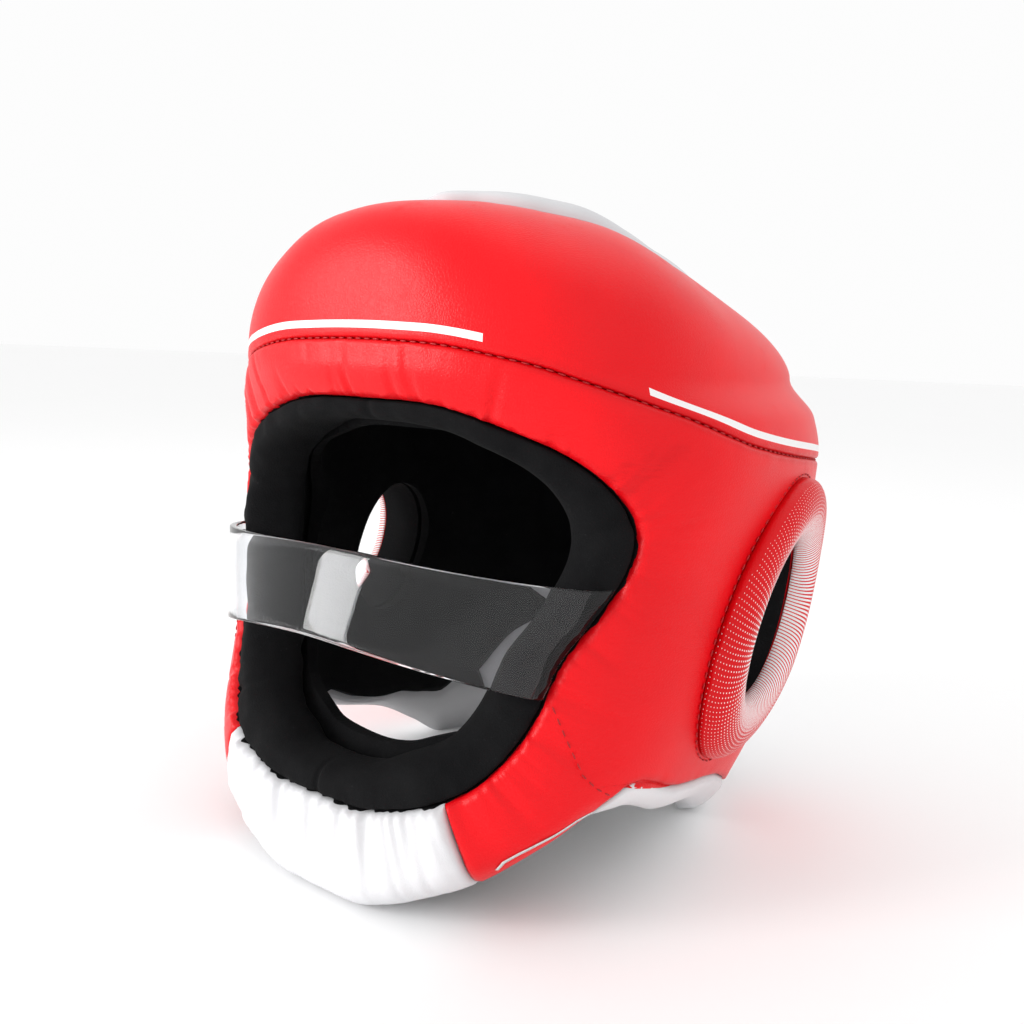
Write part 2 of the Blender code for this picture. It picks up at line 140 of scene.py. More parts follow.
LOWER_LIFT = (
    (0, 0.000),
    (50, 0.000),
    (65, 0.002),
    (80, 0.003),
    (101, 0.010),
    (115, 0.018),
    (127, 0.023),
    (145, 0.023),
    (180, 0.020),
)
SIDE_END = 130.0
OPENING_CENTRE = 0.092
OPENING_REACH = 0.109
OPENING_OUTLINE = (
    (0, 0.785),
    (30, 0.862),
    (60, 1.00),
    (90, 0.730),
    (120, 0.670),
    (150, 0.552),
    (180, 0.494),
)
CHIN_HALF_SPAN = 50
CHIN_FOOT = 31.0
LINING_WIDTH = 0.018
LINING_WIDTHS = (
    (0, 0.46),
    (40, 0.62),
    (75, 0.95),
    (105, 1.00),
    (130, 1.00),
    (155, 0.76),
    (180, 0.62),
)
LINING_SEAT = 0.0006
LINING_SET_BACK = 0.0012
LINING_SQUARENESS = 2.4
LINING_SHOULDER = 7.0
LINING_CREASE_WIDTH = 1.3
LINING_CREASES = (
    (0.0, 0.0012),
    (180.0, 0.0012),
    (62.0, 0.0014),
    (-62.0, 0.0014),
    (96.0, 0.0010),
    (-118.0, 0.0012),
)

# Ears: the hole is a little wider than the part's and the ring a little lower
EAR_BACK = 0.0085
EAR_HEIGHT = 0.100
EAR_LEAN = 32.0
HOLE_HALF_WIDTH = 0.0215
HOLE_HALF_HEIGHT = 0.0325
RING_HALF_WIDTH = 0.0375
RING_HALF_HEIGHT = 0.0575
RING_RISE = 0.0088
CUTTER_MARGIN = 0.01

# Pads: their borders, how strongly the rows crowd there and how far a gather may puff out
ALL_SIDES = ("low", "high", "left", "right")
ROW_CROWDING = 0.45
PUFF_LIMIT = 0.0012

# Grids are one unit wide: where their border lies, less a rounding error, and what is welded after
GRID_BORDER = 0.4999
WELD_DISTANCE = 1e-6

# Columns and rows of the covers' fabric, fine enough for the gathers at the seams
BROW_GRID = (340, 60)
CHEEK_GRID = (520, 56)
CHIN_GRID = (150, 52)
REAR_GRID = (120, 70)
NAPE_GRID = (260, 8)
CROWN_GRID = (160, 32)
LINING_GRID = (420, 44)
LINER_GRID = (150, 60)
RING_GRID = (180, 40)
BAR_GRID = (140, 6)

# The cheek shell's outer border is made of these stretches, in columns of the part
BROW_COLUMNS = 14
BACK_EDGE_COLUMNS = 5
JAW_COLUMNS = 2
BAND_STEP = 10
BAND_COLUMNS = round((SIDE_END - BAND_END) / BAND_STEP)
CHEEK_COLUMNS = BROW_COLUMNS + BACK_EDGE_COLUMNS + BAND_COLUMNS + JAW_COLUMNS

# Stitches, as half sizes in metres, and the row on the wearer's left cheek, mirrored on the right
STITCH_HALF_LENGTH = 0.00135
STITCH_HALF_WIDTH = 0.00030
STITCH_PITCH = 0.0040
STITCH_RISE = 0.0003
BROW_STITCH_SINK = 0.45 * SEAM_ROLL
EAR_STITCH_OUTSET = 0.0012
CHEEK_SEAM = (
    (0.0783, -0.0885, 0.0828),
    (0.0824, -0.0866, 0.0733),
    (0.0856, -0.0847, 0.0658),
    (0.0881, -0.0822, 0.0589),
    (0.0908, -0.0779, 0.0539),
    (0.0939, -0.0706, 0.0489),
)

# The covers' own seam gap, closer than the solids' one
COVER_GAP = 0.00012

# Thin white line near the edge of the jaw, on the wearer's left and mirrored on the right
JAW_LINE = (
    (0.0696, -0.1031, 0.0264),
    (0.0714, -0.1018, 0.0299),
    (0.0751, -0.0985, 0.0329),
    (0.0795, -0.0937, 0.0359),
    (0.0831, -0.0891, 0.0384),
    (0.0875, -0.0826, 0.0424),
    (0.0914, -0.0752, 0.0444),
)
JAW_LINE_HALF_WIDTH = 0.0005
PRINT_THICKNESS = 0.0002

# White line printed above the brow seam, its gap in degrees from the front, and how far it ends
# from the side seams and how high up the pad it may show, as shares of the pad
BROW_LINE_RISE = 0.0046
BROW_LINE_WIDTH = 0.0026
LINE_END = 0.014
LINE_TOP_SHARE = 0.3
LINE_GAP_START = 28.0
LINE_GAP_END = 55.6

# Rays and dots printed on the ear rings
RAY_COUNT = 150
RAY_SLANT = 5.0
DOT_ROWS = 26.0

# Clear bar, as in the part but for its ends, which lie deeper in the seam
BAR_THICKNESS = 0.0035
BAR_AXIS = 0.050
BAR_TOP_FRONT = 0.118
BAR_TOP_HALF_WIDTH = 0.0945
BAR_TOP_HEIGHT = 0.128
BAR_LOW_FRONT = 0.125
BAR_LOW_HALF_WIDTH = 0.0855
BAR_LOW_HEIGHT = 0.098
BAR_TOP_DROP = 0.0085
BAR_LOW_DROP = 0.0150
BAR_TOP_SEAT = 73.0
BAR_LOW_SEAT = 97.0
BAR_TOP_REACH = 75.0
BAR_LOW_REACH = 62.5
BAR_PLAN = 2.5
BAR_SINK = 0.0028
BAR_TUCK = 0.0028
BAR_ROUNDING = 0.0007
BAR_TINT = (0.97, 0.98, 1.0, 1.0)
BAR_IOR = 1.33

# Colours
RED = (0.84, 0.0030, 0.0080)
RED_SHADE = (0.75, 0.0025, 0.0070)
WHITE = (0.76, 0.76, 0.775)
WHITE_SHADE = (0.71, 0.71, 0.73)
WHITE_PRINT = (0.88, 0.86, 0.86)
BLACK_CLOTH = (0.0075, 0.0075, 0.008)
BLACK_CLOTH_SHADE = (0.004, 0.004, 0.0045)
LINT_GREY = (0.05, 0.05, 0.052)
RED_THREAD = (0.52, 0.004, 0.008)
JAW_PRINT = (0.86, 0.86, 0.86)
STAGE_WHITE = (0.97, 0.97, 0.97)

# Camera: its place, its three directions, its focal length in pixels of the picture, the picture's
# width and the width of its sensor in millimetres
CAMERA_PLACE = (0.2446, -0.3472, 0.1927)
CAMERA_RIGHT = (0.8087, 0.5868, 0.0409)
CAMERA_UP = (-0.1222, 0.0996, 0.9875)
CAMERA_BACK = (0.5754, -0.8036, 0.1522)
CAMERA_FOCUS = 988.0
PICTURE_WIDTH = 1024
SENSOR_WIDTH = 36.0

# Studio: a wide floor under a white sky, and soft lights as (name, place, width, height, power)
STAGE_RADIUS = 40.0
WORLD_STRENGTH = 0.98
LIGHT_TARGET = (0.0, 0.0, 0.12)
LIGHTS = (
    ("key_light", (-0.9, -1.3, 1.3), 0.9, 0.9, 1.2),
    ("side_light", (1.5, -0.5, 0.9), 0.8, 1.2, 1.0),
    ("bar_strip", (-0.75, -1.1, 0.30), 0.35, 0.8, 12.0),
    ("top_light", (0.1, 0.3, 1.6), 1.2, 1.2, 1.5),
)


def read_curve(rows, place, column):
    """The value of a table's column at a place along its first one, on a curve with no overshoot."""
    place = min(max(place, rows[0][0]), rows[-1][0])
    steps = [(b[column] - a[column]) / (b[0] - a[0]) for a, b in zip(rows, rows[1:])]
    slopes = [0.0]
    for before, after in zip(steps, steps[1:]):
        slopes.append(0.0 if before * after <= 0 else 2 * before * after / (before + after))
    slopes.append(0.0)
    row = next(i for i in range(len(rows) - 1) if place <= rows[i + 1][0])
    width = rows[row + 1][0] - rows[row][0]
    t = (place - rows[row][0]) / width
    start = rows[row][column] * (2 * t**3 - 3 * t**2 + 1) + slopes[row] * width * (t**3 - 2 * t**2 + t)
    end = rows[row + 1][column] * (3 * t**2 - 2 * t**3) + slopes[row + 1] * width * (t**3 - t**2)
    return start + end


class Curve:
    """A table read once at many places, so that reading it again is quick."""

    def __init__(self, rows, column=1, steps=720):
        self.low, self.high = rows[0][0], rows[-1][0]
        self.steps = steps
        reach = self.high - self.low
        self.values = [read_curve(rows, self.low + reach * i / steps, column) for i in range(steps + 1)]

    def __call__(self, place):
        spot = (min(max(place, self.low), self.high) - self.low) / (self.high - self.low) * self.steps
        i = min(int(spot), self.steps - 1)
        return mix(self.values[i], self.values[i + 1], spot - i)


def mix(a, b, share):
    return a + (b - a) * share


def eased_step(value, start, end):
    share = min(max((value - start) / (end - start), 0.0), 1.0)
    return share * share * (3 - 2 * share)


def around(angle):
    """Degrees from the front, the same on both sides."""
    return abs((math.degrees(angle) + 180) % 360 - 180)


SECTION = {name: Curve(SECTIONS, i) for i, name in enumerate(SECTION_COLUMNS) if i}
LOWER = Curve(LOWER_EDGE)
LIFT = Curve(LOWER_LIFT)
BROW = Curve(BROW_SEAM)
TURN = Curve(CROWN_TURN)
RIM = Curve(TOP_RIM)
OPENING = Curve(OPENING_OUTLINE)
LINING = Curve(LINING_WIDTHS)


def section(height, column, size):
    return size * SECTION[column](height / SHELL_HEIGHT)


def lower_edge(angle):
    return JAW_RISE * LOWER(around(angle))


def lower_lift(angle, depth):
    return LIFT(around(angle)) * depth / PAD_THICKNESS


def band_top(angle, depth):
    top = lower_edge(angle) + NAPE_BAND * eased_step(around(angle), BAND_POINT, BAND_FULL)
    return top + lower_lift(angle, depth)


def brow_seam(angle):
    return SHELL_HEIGHT * BROW(around(angle))


def crown_level(climb):
    return CROWN_START + (SHELL_HEIGHT - CROWN_START) * math.asin(climb)


def top_rim(angle):
    form = TURN(around(angle))
    return crown_level((1 - RIM(around(angle)) ** form) ** (1 / form))


def rolled(distance, radius):
    """How far a rolled edge falls back at a distance from it."""
    if distance >= radius:
        return 0.0
    return radius - math.sqrt(max(radius**2 - (radius - max(distance, 0.0)) ** 2, 0.0))


def shell_point(angle, level, depth):
    """A point of the shell: angle from the front towards +X, level up it, and depth into the pad."""
    rise = SHELL_HEIGHT - CROWN_START
    base = min(level, CROWN_START)
    turn = min(max((level - CROWN_START) / rise, 0.0), math.pi / 2)
    climb = math.sin(turn)
    depth += rolled(base - lower_edge(angle), LOWER_ROLL) * max(1 - depth / PAD_THICKNESS, 0.0)
    side = section(base, "half_width", SHELL_HALF_WIDTH) - depth
    front = section(base, "front", FRONT_LENGTH) - depth
    back = section(base, "back", BACK_LENGTH) - depth
    form = TURN(around(angle))
    height = base + climb * (rise - depth)
    if turn >= math.pi / 2:
        return Vector((0.0, 0.0, height)) + FRAME_SHIFT
    sine, cosine = abs(math.sin(angle)), math.cos(angle)
    square = PLAN_FRONT if cosine > 0 else PLAN_BACK
    along = front if cosine > 0 else back
    reach = ((sine / side) ** square + (abs(cosine) / along) ** square) ** (-1 / square)
    reach *= (1 - climb**form) ** (1 / form)
    return Vector((reach * math.sin(angle), -reach * cosine, height)) + FRAME_SHIFT


def opening_border(turn, inset=0.0):
    """(angle, level) on the shell of the face opening's border, turn degrees from straight up."""
    reach = OPENING_REACH * OPENING(around(math.radians(turn))) - inset
    across = reach * math.sin(math.radians(turn))
    height = OPENING_CENTRE + reach * math.cos(math.radians(turn))
    side = section(height, "half_width", SHELL_HALF_WIDTH)
    front = section(height, "front", FRONT_LENGTH)
    ahead = front * (1 - (abs(across) / side) ** PLAN_FRONT) ** (1 / PLAN_FRONT)
    return math.atan2(across, ahead), height


def cheek_border(turn, depth):
    """(angle, level) of the cheek shell's outer border: brow seam, end behind the ear, lower edge."""
    place = abs(turn) / (180 - CHIN_HALF_SPAN) * CHEEK_COLUMNS
    end = math.radians(SIDE_END)
    band_end = math.radians(BAND_END)
    corner = BROW_COLUMNS + BACK_EDGE_COLUMNS
    if place <= BROW_COLUMNS:
        angle = end * place / BROW_COLUMNS
        level = brow_seam(angle)
    elif place <= corner:
        angle = end
        level = mix(brow_seam(end), band_top(end, depth), (place - BROW_COLUMNS) / BACK_EDGE_COLUMNS)
    elif place <= corner + BAND_COLUMNS:
        angle = mix(end, band_end, (place - corner) / BAND_COLUMNS)
        level = band_top(angle, depth)
    else:
        part = (place - corner - BAND_COLUMNS) / JAW_COLUMNS
        angle = mix(band_end, math.radians(CHIN_FOOT), min(part, 1.0))
        level = band_top(angle, depth)
    return math.copysign(angle, turn), level


def lining_width(turn):
    return LINING_WIDTH * LINING(around(math.radians(turn)))


def solid_object(name, bm, material):
    """Turns a mesh's faces outwards and makes it an object of the scene."""
    bmesh.ops.recalc_face_normals(bm, faces=bm.faces)
    if bm.calc_volume(signed=True) < 0:
        bmesh.ops.reverse_faces(bm, faces=bm.faces)
    mesh = bpy.data.meshes.new(name)
    bm.to_mesh(mesh)
    bm.free()
    mesh.materials.append(material)
    obj = bpy.data.objects.new(name, mesh)
    bpy.context.scene.collection.objects.link(obj)
    return obj


def finish_mesh(name, bm, material):
    """Makes a mesh a smooth piece that rides on the headgear."""
    obj = solid_object(name, bm, material)
    obj.data.shade_smooth()
    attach(obj, "root")
    return obj


def add_inner_wall(bm):
    """Copies a grid and joins the copy round its border; gives the copy's corners, not yet moved."""
    made = bmesh.ops.extrude_face_region(bm, geom=bm.faces[:])
    return {item for item in made["geom"] if isinstance(item, bmesh.types.BMVert)}


def gathers(along, fade, scale, depth):
    """The depth of the small gathers at a seam: along is metres along it and fade falls to 0 away."""
    broad = noise.noise(Vector((along / scale, 0.0, fade * 0.7)))
    fine = noise.noise(Vector((along / scale * 2.1, 7.0, fade)))
    return depth * (broad + 0.5 * fine) * fade


def softness(point, scale, depth, seed=0.0):
    """Broad shallow unevenness of a foam pad."""
    return depth * noise.noise(point / scale + Vector((seed, seed, 0.0)))


def seam_lines(place, samples=160):
    """The four borders of a pad, as lines of points with the length run along each."""
    steps = [i / samples for i in range(samples + 1)]
    borders = {
        "left": [place(0, s, 0) for s in steps],
        "right": [place(1, s, 0) for s in steps],
        "low": [place(s, 0, 0) for s in steps],
        "high": [place(s, 1, 0) for s in steps],
    }
    lines = {}
    for side, points in borders.items():
        run = [0.0]
        for a, b in zip(points, points[1:]):
            run.append(run[-1] + (b - a).length)
        lines[side] = (points, run)
    return lines


def nearest_on(line, point, share):
    """(distance, length run) of the place nearest to a point on a border line, looked for near a share."""
    points, run = line
    last = len(points) - 1
    middle = int(share * last)
    best = (math.inf, 0.0)
    for i in range(max(middle - 14, 0), min(middle + 14, last)):
        start, step = points[i], points[i + 1] - points[i]
        part = min(max((point - start).dot(step) / max(step.length_squared, 1e-12), 0.0), 1.0)
        distance = (point - start - step * part).length
        if distance < best[0]:
            best = (distance, mix(run[i], run[i + 1], part))
    return best


def pad(name, grid, place, rolls, pucker, material, lining_and_seam_shade_sides, dents=0.0010, easing=True):
    """A closed pad whose cover rolls in at its borders and gathers there.

    rolls gives each border's radius and pucker its (reach, scale, depth). The attribute
    "seam_distance" keeps the distance to the nearest border, and "share_across" and "share_up" the
    place on the pad. lining_and_seam_shade_sides names the border walls that take the liner's black
    cloth, as do the faces towards the head wherever any side is named. On the faces towards the head
    and the walls at the face opening this cloth is the lining; on the walls in the seam gaps between
    covers it is painted seam shade. dents is the depth of the broad unevenness, and easing crowds the
    rows at the low and high borders.
    """
    columns, rows = grid
    bm = bmesh.new()
    distance_layer = bm.verts.layers.float.new("seam_distance")
    across_layer = bm.verts.layers.float.new("share_across")
    up_layer = bm.verts.layers.float.new("share_up")
    bmesh.ops.create_grid(bm, x_segments=columns, y_segments=rows, size=0.5)

    def shares(vert):
        u, v = (min(max(value + 0.5, 0.0), 1.0) for value in vert.co[:2])
        return u, v - ROW_CROWDING * math.sin(2 * math.pi * v) / (2 * math.pi) if easing else v

    outer = {vert: shares(vert) for vert in bm.verts}
    inner = add_inner_wall(bm)
    for face in bm.faces:
        if not inner.intersection(face.verts):
            continue
        reach = [(vert.co.x, vert.co.y) for vert in face.verts]
        on_side = {
            "left": all(x < -GRID_BORDER for x, y in reach),
            "right": all(x > GRID_BORDER for x, y in reach),
            "low": all(y < -GRID_BORDER for x, y in reach),
            "high": all(y > GRID_BORDER for x, y in reach),
        }
        # Black cloth: the lining towards the head and at the face opening, painted seam shade on the walls
        # in the gaps between covers
        hidden = lining_and_seam_shade_sides and inner.issuperset(face.verts)
        if hidden or any(on_side[side] for side in lining_and_seam_shade_sides):
            face.material_index = 1
    lines = seam_lines(place)
    for vert in inner:
        u, v = shares(vert)
        vert.co = place(u, v, PAD_THICKNESS)
        vert[distance_layer] = 0.0
    for vert, (u, v) in outer.items():
        surface = place(u, v, 0)
        fall = 0.0
        closest = math.inf
        for side, line in lines.items():
            away, run = nearest_on(line, surface, v if side in ("left", "right") else u)
            closest = min(closest, away)
            if side in rolls:
                fall = max(fall, rolled(away, rolls[side]))
            if side in pucker:
                reach, scale, depth = pucker[side]
                fall += gathers(run, math.exp(-((away / reach) ** 1.4)), scale, depth)
        fall += softness(surface, 0.045, dents) * min(closest / 0.02, 1.0)
        vert.co = place(u, v, max(fall, -PUFF_LIMIT))
        vert[distance_layer] = closest
        vert[across_layer] = u
        vert[up_layer] = v
    cover = finish_mesh(name, bm, material)
    cover.data.materials.append(liner_cloth)
    return cover


def wrapped(value):
    """A grid's coordinate as a share of the way round, the same at its end as at its start."""
    return (value + 0.5) % 1.0 if value < GRID_BORDER else 0.0


def ring_solid(name, grid, place, material):
    """A closed ring: place(turn, side) gives its points, both from 0 to 1, kept in the UV map "ring"."""
    bm = bmesh.new()
    layer = bm.loops.layers.uv.new("ring")
    bmesh.ops.create_grid(bm, x_segments=grid[0], y_segments=grid[1], size=0.5)
    for face in bm.faces:
        for loop in face.loops:
            loop[layer].uv = (loop.vert.co.x + 0.5, loop.vert.co.y + 0.5)
    for vert in bm.verts:
        vert.co = place(wrapped(vert.co.x), wrapped(vert.co.y))
    bmesh.ops.remove_doubles(bm, verts=bm.verts, dist=WELD_DISTANCE)
    return finish_mesh(name, bm, material)


def brow_place(u, v, depth):
    angle = mix(-1, 1, u) * (math.radians(SIDE_END) - SEAM_GAP / SHELL_HALF_WIDTH)
    return shell_point(angle, mix(brow_seam(angle) + COVER_GAP, top_rim(angle), v), depth)


def cheek_place(u, v, depth):
    turn = mix(-1, 1, u) * (180 - CHIN_HALF_SPAN)
    near, near_level = opening_border(turn)
    far, far_level = cheek_border(turn, depth)
    return shell_point(mix(near, far, v), mix(near_level, far_level, v), depth)


def chin_place(u, v, depth):
    turn = mix(180 - CHIN_HALF_SPAN, 180 + CHIN_HALF_SPAN, u)
    near, near_level = opening_border(turn)
    foot = math.radians(mix(CHIN_FOOT, -CHIN_FOOT, u))
    angle = mix(foot, near, v) - COVER_GAP / FRONT_LENGTH * (1 - 2 * u)
    return shell_point(angle, mix(lower_edge(foot), near_level, v), depth)


def rear_place(u, v, depth):
    start = math.radians(SIDE_END) + COVER_GAP / SHELL_HALF_WIDTH
    angle = mix(start, 2 * math.pi - start, u)
    return shell_point(angle, mix(band_top(angle, depth) + COVER_GAP, top_rim(angle), v), depth)


def nape_place(u, v, depth):
    start = math.radians(BAND_END)
    angle = mix(start, 2 * math.pi - start, u)
    low = lower_edge(angle) + lower_lift(angle, depth)
    return shell_point(angle, mix(low, band_top(angle, depth) - 2 * COVER_GAP, v), depth)


def crown_place(angle, share, depth):
    """A point of the crown pad, which stands a little proud of the shell inside the brow's rim."""
    level = mix(crown_level(1.0), top_rim(angle) + SEAM_GAP, share)
    return shell_point(angle, level, depth - CROWN_RISE * (1 - share**CROWN_EDGE))


def two_walled_grid(columns, rows, pole):
    """A grid and its copy, joined at one border only: x goes once round and y ends at a pole."""
    bm = bmesh.new()
    bmesh.ops.create_grid(bm, x_segments=columns, y_segments=rows, size=0.5)
    inner = add_inner_wall(bm)

    def shared(face):
        on_ends = any(all(abs(vert.co.x - end) < 1e-4 for vert in face.verts) for end in (-0.5, 0.5))
        return on_ends or all(abs(vert.co.y - pole) < 1e-4 for vert in face.verts)

    bmesh.ops.delete(bm, geom=[face for face in bm.faces if shared(face)], context="FACES_ONLY")
    return bm, inner


def make_crown_pad(material):
    """The cushion that closes the top and shows above the brow."""
    bm, inner = two_walled_grid(*CROWN_GRID, pole=-0.5)
    for vert in bm.verts:
        angle = 2 * math.pi * wrapped(vert.co.x)
        share = math.sin(math.pi / 2 * (vert.co.y + 0.5))
        point = crown_place(angle, share, 0.0)
        fall = softness(point, 0.05, 0.0009, 3.0) * (1 - share**6)
        vert.co = crown_place(angle, share, PAD_THICKNESS if vert in inner else fall)
    bmesh.ops.remove_doubles(bm, verts=bm.verts, dist=WELD_DISTANCE)
    return finish_mesh("crown_cover", bm, material)


def make_face_lining(material):
    """The soft black ring inside the face opening, gathered where it is sewn to the leather."""

    def place(turn, side):
        degrees = turn * 360
        spin = 2 * math.pi * side
        outside = eased_step(math.cos(spin), -0.2, 0.8)
        power = 2 / mix(LINING_SQUARENESS, LINING_SHOULDER, outside)
        across = math.copysign(abs(math.cos(spin)) ** power, math.cos(spin))
        deep = math.copysign(abs(math.sin(spin)) ** power, math.sin(spin))
        inset = mix(LINING_SEAT, lining_width(degrees), (1 - across) / 2)
        angle, level = opening_border(degrees, inset)
        depth = mix(LINING_SET_BACK, PAD_THICKNESS, (deep + 1) / 2)
        point = shell_point(angle, level, depth)
        fold = gathers(turn * 0.55, max(across, 0.0) ** 2, 0.0045, 0.0007)
        soft = softness(point, 0.013, 0.0013, 5.0) + softness(point, 0.006, 0.0005, 2.0)
        soft *= 1 - max(across, 0.0) ** 3
        crease = sum(
            depth_of * math.exp(-(((degrees - at + 180) % 360 - 180) / LINING_CREASE_WIDTH) ** 2)
            for at, depth_of in LINING_CREASES
        )
        return shell_point(angle, level, depth + fold + soft + crease * (1 - max(deep, 0.0)))

    return ring_solid("face_lining_cloth", LINING_GRID, place, material)


def ear_point(side, spin, half_width, half_height, rise):
    """A point on an ellipse round the ear, lying on the shell or rise above it."""
    lean = math.radians(EAR_LEAN)
    across = half_width * math.cos(spin)
    up = half_height * math.sin(spin)
    back = EAR_BACK + across * math.cos(lean) + up * math.sin(lean)
    height = EAR_HEIGHT - across * math.sin(lean) + up * math.cos(lean)
    half = section(height, "half_width", SHELL_HALF_WIDTH)
    behind = back > 0
    length = section(height, "back" if behind else "front", BACK_LENGTH if behind else FRONT_LENGTH)
    square = PLAN_BACK if behind else PLAN_FRONT
    out = half * (1 - (abs(back) / length) ** square) ** (1 / square)
    return Vector((side * (out + rise), back, height)) + FRAME_SHIFT


def make_ear_ring(name, side, material):
    def place(turn, around_tube):
        spin = 2 * math.pi * turn
        tube = 2 * math.pi * around_tube
        share = (1 - math.cos(tube)) / 2
        half_width = mix(HOLE_HALF_WIDTH, RING_HALF_WIDTH, share)
        half_height = mix(HOLE_HALF_HEIGHT, RING_HALF_HEIGHT, share)
        rise = SEAM_GAP + RING_RISE * max(math.sin(tube), 0.0) ** 0.8
        crown = max(math.sin(tube), 0.0)
        pucker = gathers(turn * 0.26, (1 - crown) * min(crown * 8, 1.0), 0.005, 0.0005)
        return ear_point(side, spin, half_width, half_height, rise + pucker)

    return ring_solid(name, RING_GRID, place, material)


def make_cutter(name, segments, place, material):
    bm = bmesh.new()
    bmesh.ops.create_cone(bm, cap_ends=True, segments=segments, radius1=1.0, radius2=1.0, depth=1.0)
    for vert in bm.verts:
        vert.co = place(vert.co)
    return solid_object(name, bm, material)


def ear_cutter(name, side, material):
    def place(point):
        spot = ear_point(side, math.atan2(point.y, point.x), HOLE_HALF_WIDTH, HOLE_HALF_HEIGHT, 0.0)
        reach = SHELL_HALF_WIDTH + 2 * RING_RISE if point.z > 0 else SHELL_HALF_WIDTH - 3 * PAD_THICKNESS
        return Vector((side * reach, spot.y, spot.z))

    return make_cutter(name, 64, place, material)


def face_cutter(material):
    def place(point):
        turn = math.atan2(point.x, point.y)
        reach = OPENING_REACH * OPENING(around(turn)) - lining_width(math.degrees(turn)) - LINER_OVERLAP
        height = OPENING_CENTRE + reach * math.cos(turn)
        ahead = -FRONT_LENGTH - CUTTER_MARGIN if point.z > 0 else 0.0
        return Vector((reach * math.sin(turn), ahead, height)) + FRAME_SHIFT

    return make_cutter("face_cutter", 120, place, material)


def cut(obj, *tools):
    """Cuts the tools' shapes out of a piece, whose cut walls take the tools' cloth."""
    for tool in tools:
        modifier = obj.modifiers.new(tool.name, "BOOLEAN")
        modifier.operation = "DIFFERENCE"
        modifier.solver = "EXACT"
        modifier.material_mode = "TRANSFER"
        modifier.object = tool
    graph = bpy.context.evaluated_depsgraph_get()
    mesh = bpy.data.meshes.new_from_object(obj.evaluated_get(graph))
    obj.modifiers.clear()
    obj.data = mesh


def make_inner_liner(material):
    """The black cloth inside, with the soft folds that it takes round the head space."""
    bm, inner = two_walled_grid(*LINER_GRID, pole=0.5)
    apex = crown_level(1.0)
    for vert in bm.verts:
        angle = wrapped(vert.co.x) * 2 * math.pi
        depth = PAD_THICKNESS + LINER_GAP + (LINER_THICKNESS if vert in inner else 0.0)
        low = lower_edge(angle) + lower_lift(angle, depth) + LINER_RAISE
        level = mix(low, apex, vert.co.y + 0.5)
        point = shell_point(angle, level, depth)
        fold = softness(point, 0.020, 0.0016, 9.0) if vert in inner else 0.0
        vert.co = shell_point(angle, level, depth + fold)
    bmesh.ops.remove_doubles(bm, verts=bm.verts, dist=WELD_DISTANCE)
    return finish_mesh("inner_liner_cloth", bm, material)


def bar_place(u, v, depth):
    share = 2 * u - 1
    angle = math.radians(mix(BAR_LOW_REACH, BAR_TOP_REACH, v)) * share
    half = mix(BAR_LOW_HALF_WIDTH, BAR_TOP_HALF_WIDTH, v) - depth
    ahead = mix(BAR_LOW_FRONT, BAR_TOP_FRONT, v) - BAR_AXIS - depth
    across, along = abs(math.sin(angle)) / half, math.cos(angle) / ahead
    radius = (across**BAR_PLAN + along**BAR_PLAN) ** (-1 / BAR_PLAN)
    drop = mix(BAR_LOW_DROP, BAR_TOP_DROP, v) * share**2
    height = mix(BAR_LOW_HEIGHT, BAR_TOP_HEIGHT, v) - drop
    free = Vector((radius * math.sin(angle), -BAR_AXIS - radius * math.cos(angle), height)) + FRAME_SHIFT
    turn = math.copysign(mix(BAR_LOW_SEAT, BAR_TOP_SEAT, v), share)
    seat_angle, seat_level = opening_border(turn, depth - BAR_THICKNESS / 2 + BAR_TUCK)
    return free.lerp(shell_point(seat_angle, seat_level, BAR_SINK), abs(share) ** 4)


def make_face_bar(material):
    """The clear bowed plate, with its long edges rounded over."""
    bm = bmesh.new()
    bmesh.ops.create_grid(bm, x_segments=BAR_GRID[0], y_segments=BAR_GRID[1], size=0.5)
    inner = add_inner_wall(bm)
    for vert in bm.verts:
        depth = BAR_THICKNESS if vert in inner else 0.0
        vert.co = bar_place(vert.co.x + 0.5, vert.co.y + 0.5, depth)
    bmesh.ops.recalc_face_normals(bm, faces=bm.faces)
    corners = [edge for edge in bm.edges if edge.calc_face_angle(0.0) > math.radians(50)]
    bmesh.ops.bevel(
        bm, geom=corners, offset=BAR_ROUNDING, segments=3, profile=0.5, affect="EDGES", material=-1
    )
    return finish_mesh("face_bar_clear", bm, material)


def stitch_row(name, points, outward, material):
    """A row of short threads along a line of points, each lying along it."""
    bm = bmesh.new()
    run = [0.0]
    for a, b in zip(points, points[1:]):
        run.append(run[-1] + (b - a).length)
    count = int(run[-1] / STITCH_PITCH)
    segment = 0
    for i in range(count):
        middle = (i + 0.5) * run[-1] / count
        while segment < len(run) - 2 and run[segment + 1] < middle:
            segment += 1
        share = (middle - run[segment]) / max(run[segment + 1] - run[segment], 1e-9)
        spot = points[segment].lerp(points[segment + 1], share)
        along = (points[segment + 1] - points[segment]).normalized()
        out = outward[segment]
        turned = Matrix((along, out.cross(along).normalized(), out)).transposed().to_4x4()
        size = Matrix.Diagonal((STITCH_HALF_LENGTH, STITCH_HALF_WIDTH, STITCH_HALF_WIDTH, 1.0))
        bmesh.ops.create_icosphere(
            bm, subdivisions=2, radius=1.0, matrix=Matrix.Translation(spot) @ turned @ size
        )
    return finish_mesh(name, bm, material)


def on_shell(places, rise):
    """Points and outward directions on the shell of a list of (angle, level) places."""
    points, outward = [], []
    for angle, level in places:
        point = shell_point(angle, level, -rise)
        side = shell_point(angle + 0.01, level, -rise) - shell_point(angle - 0.01, level, -rise)
        up = shell_point(angle, level + 0.001, -rise) - shell_point(angle, level - 0.001, -rise)
        points.append(point)
        outward.append(side.cross(up).normalized())
    return points, outward


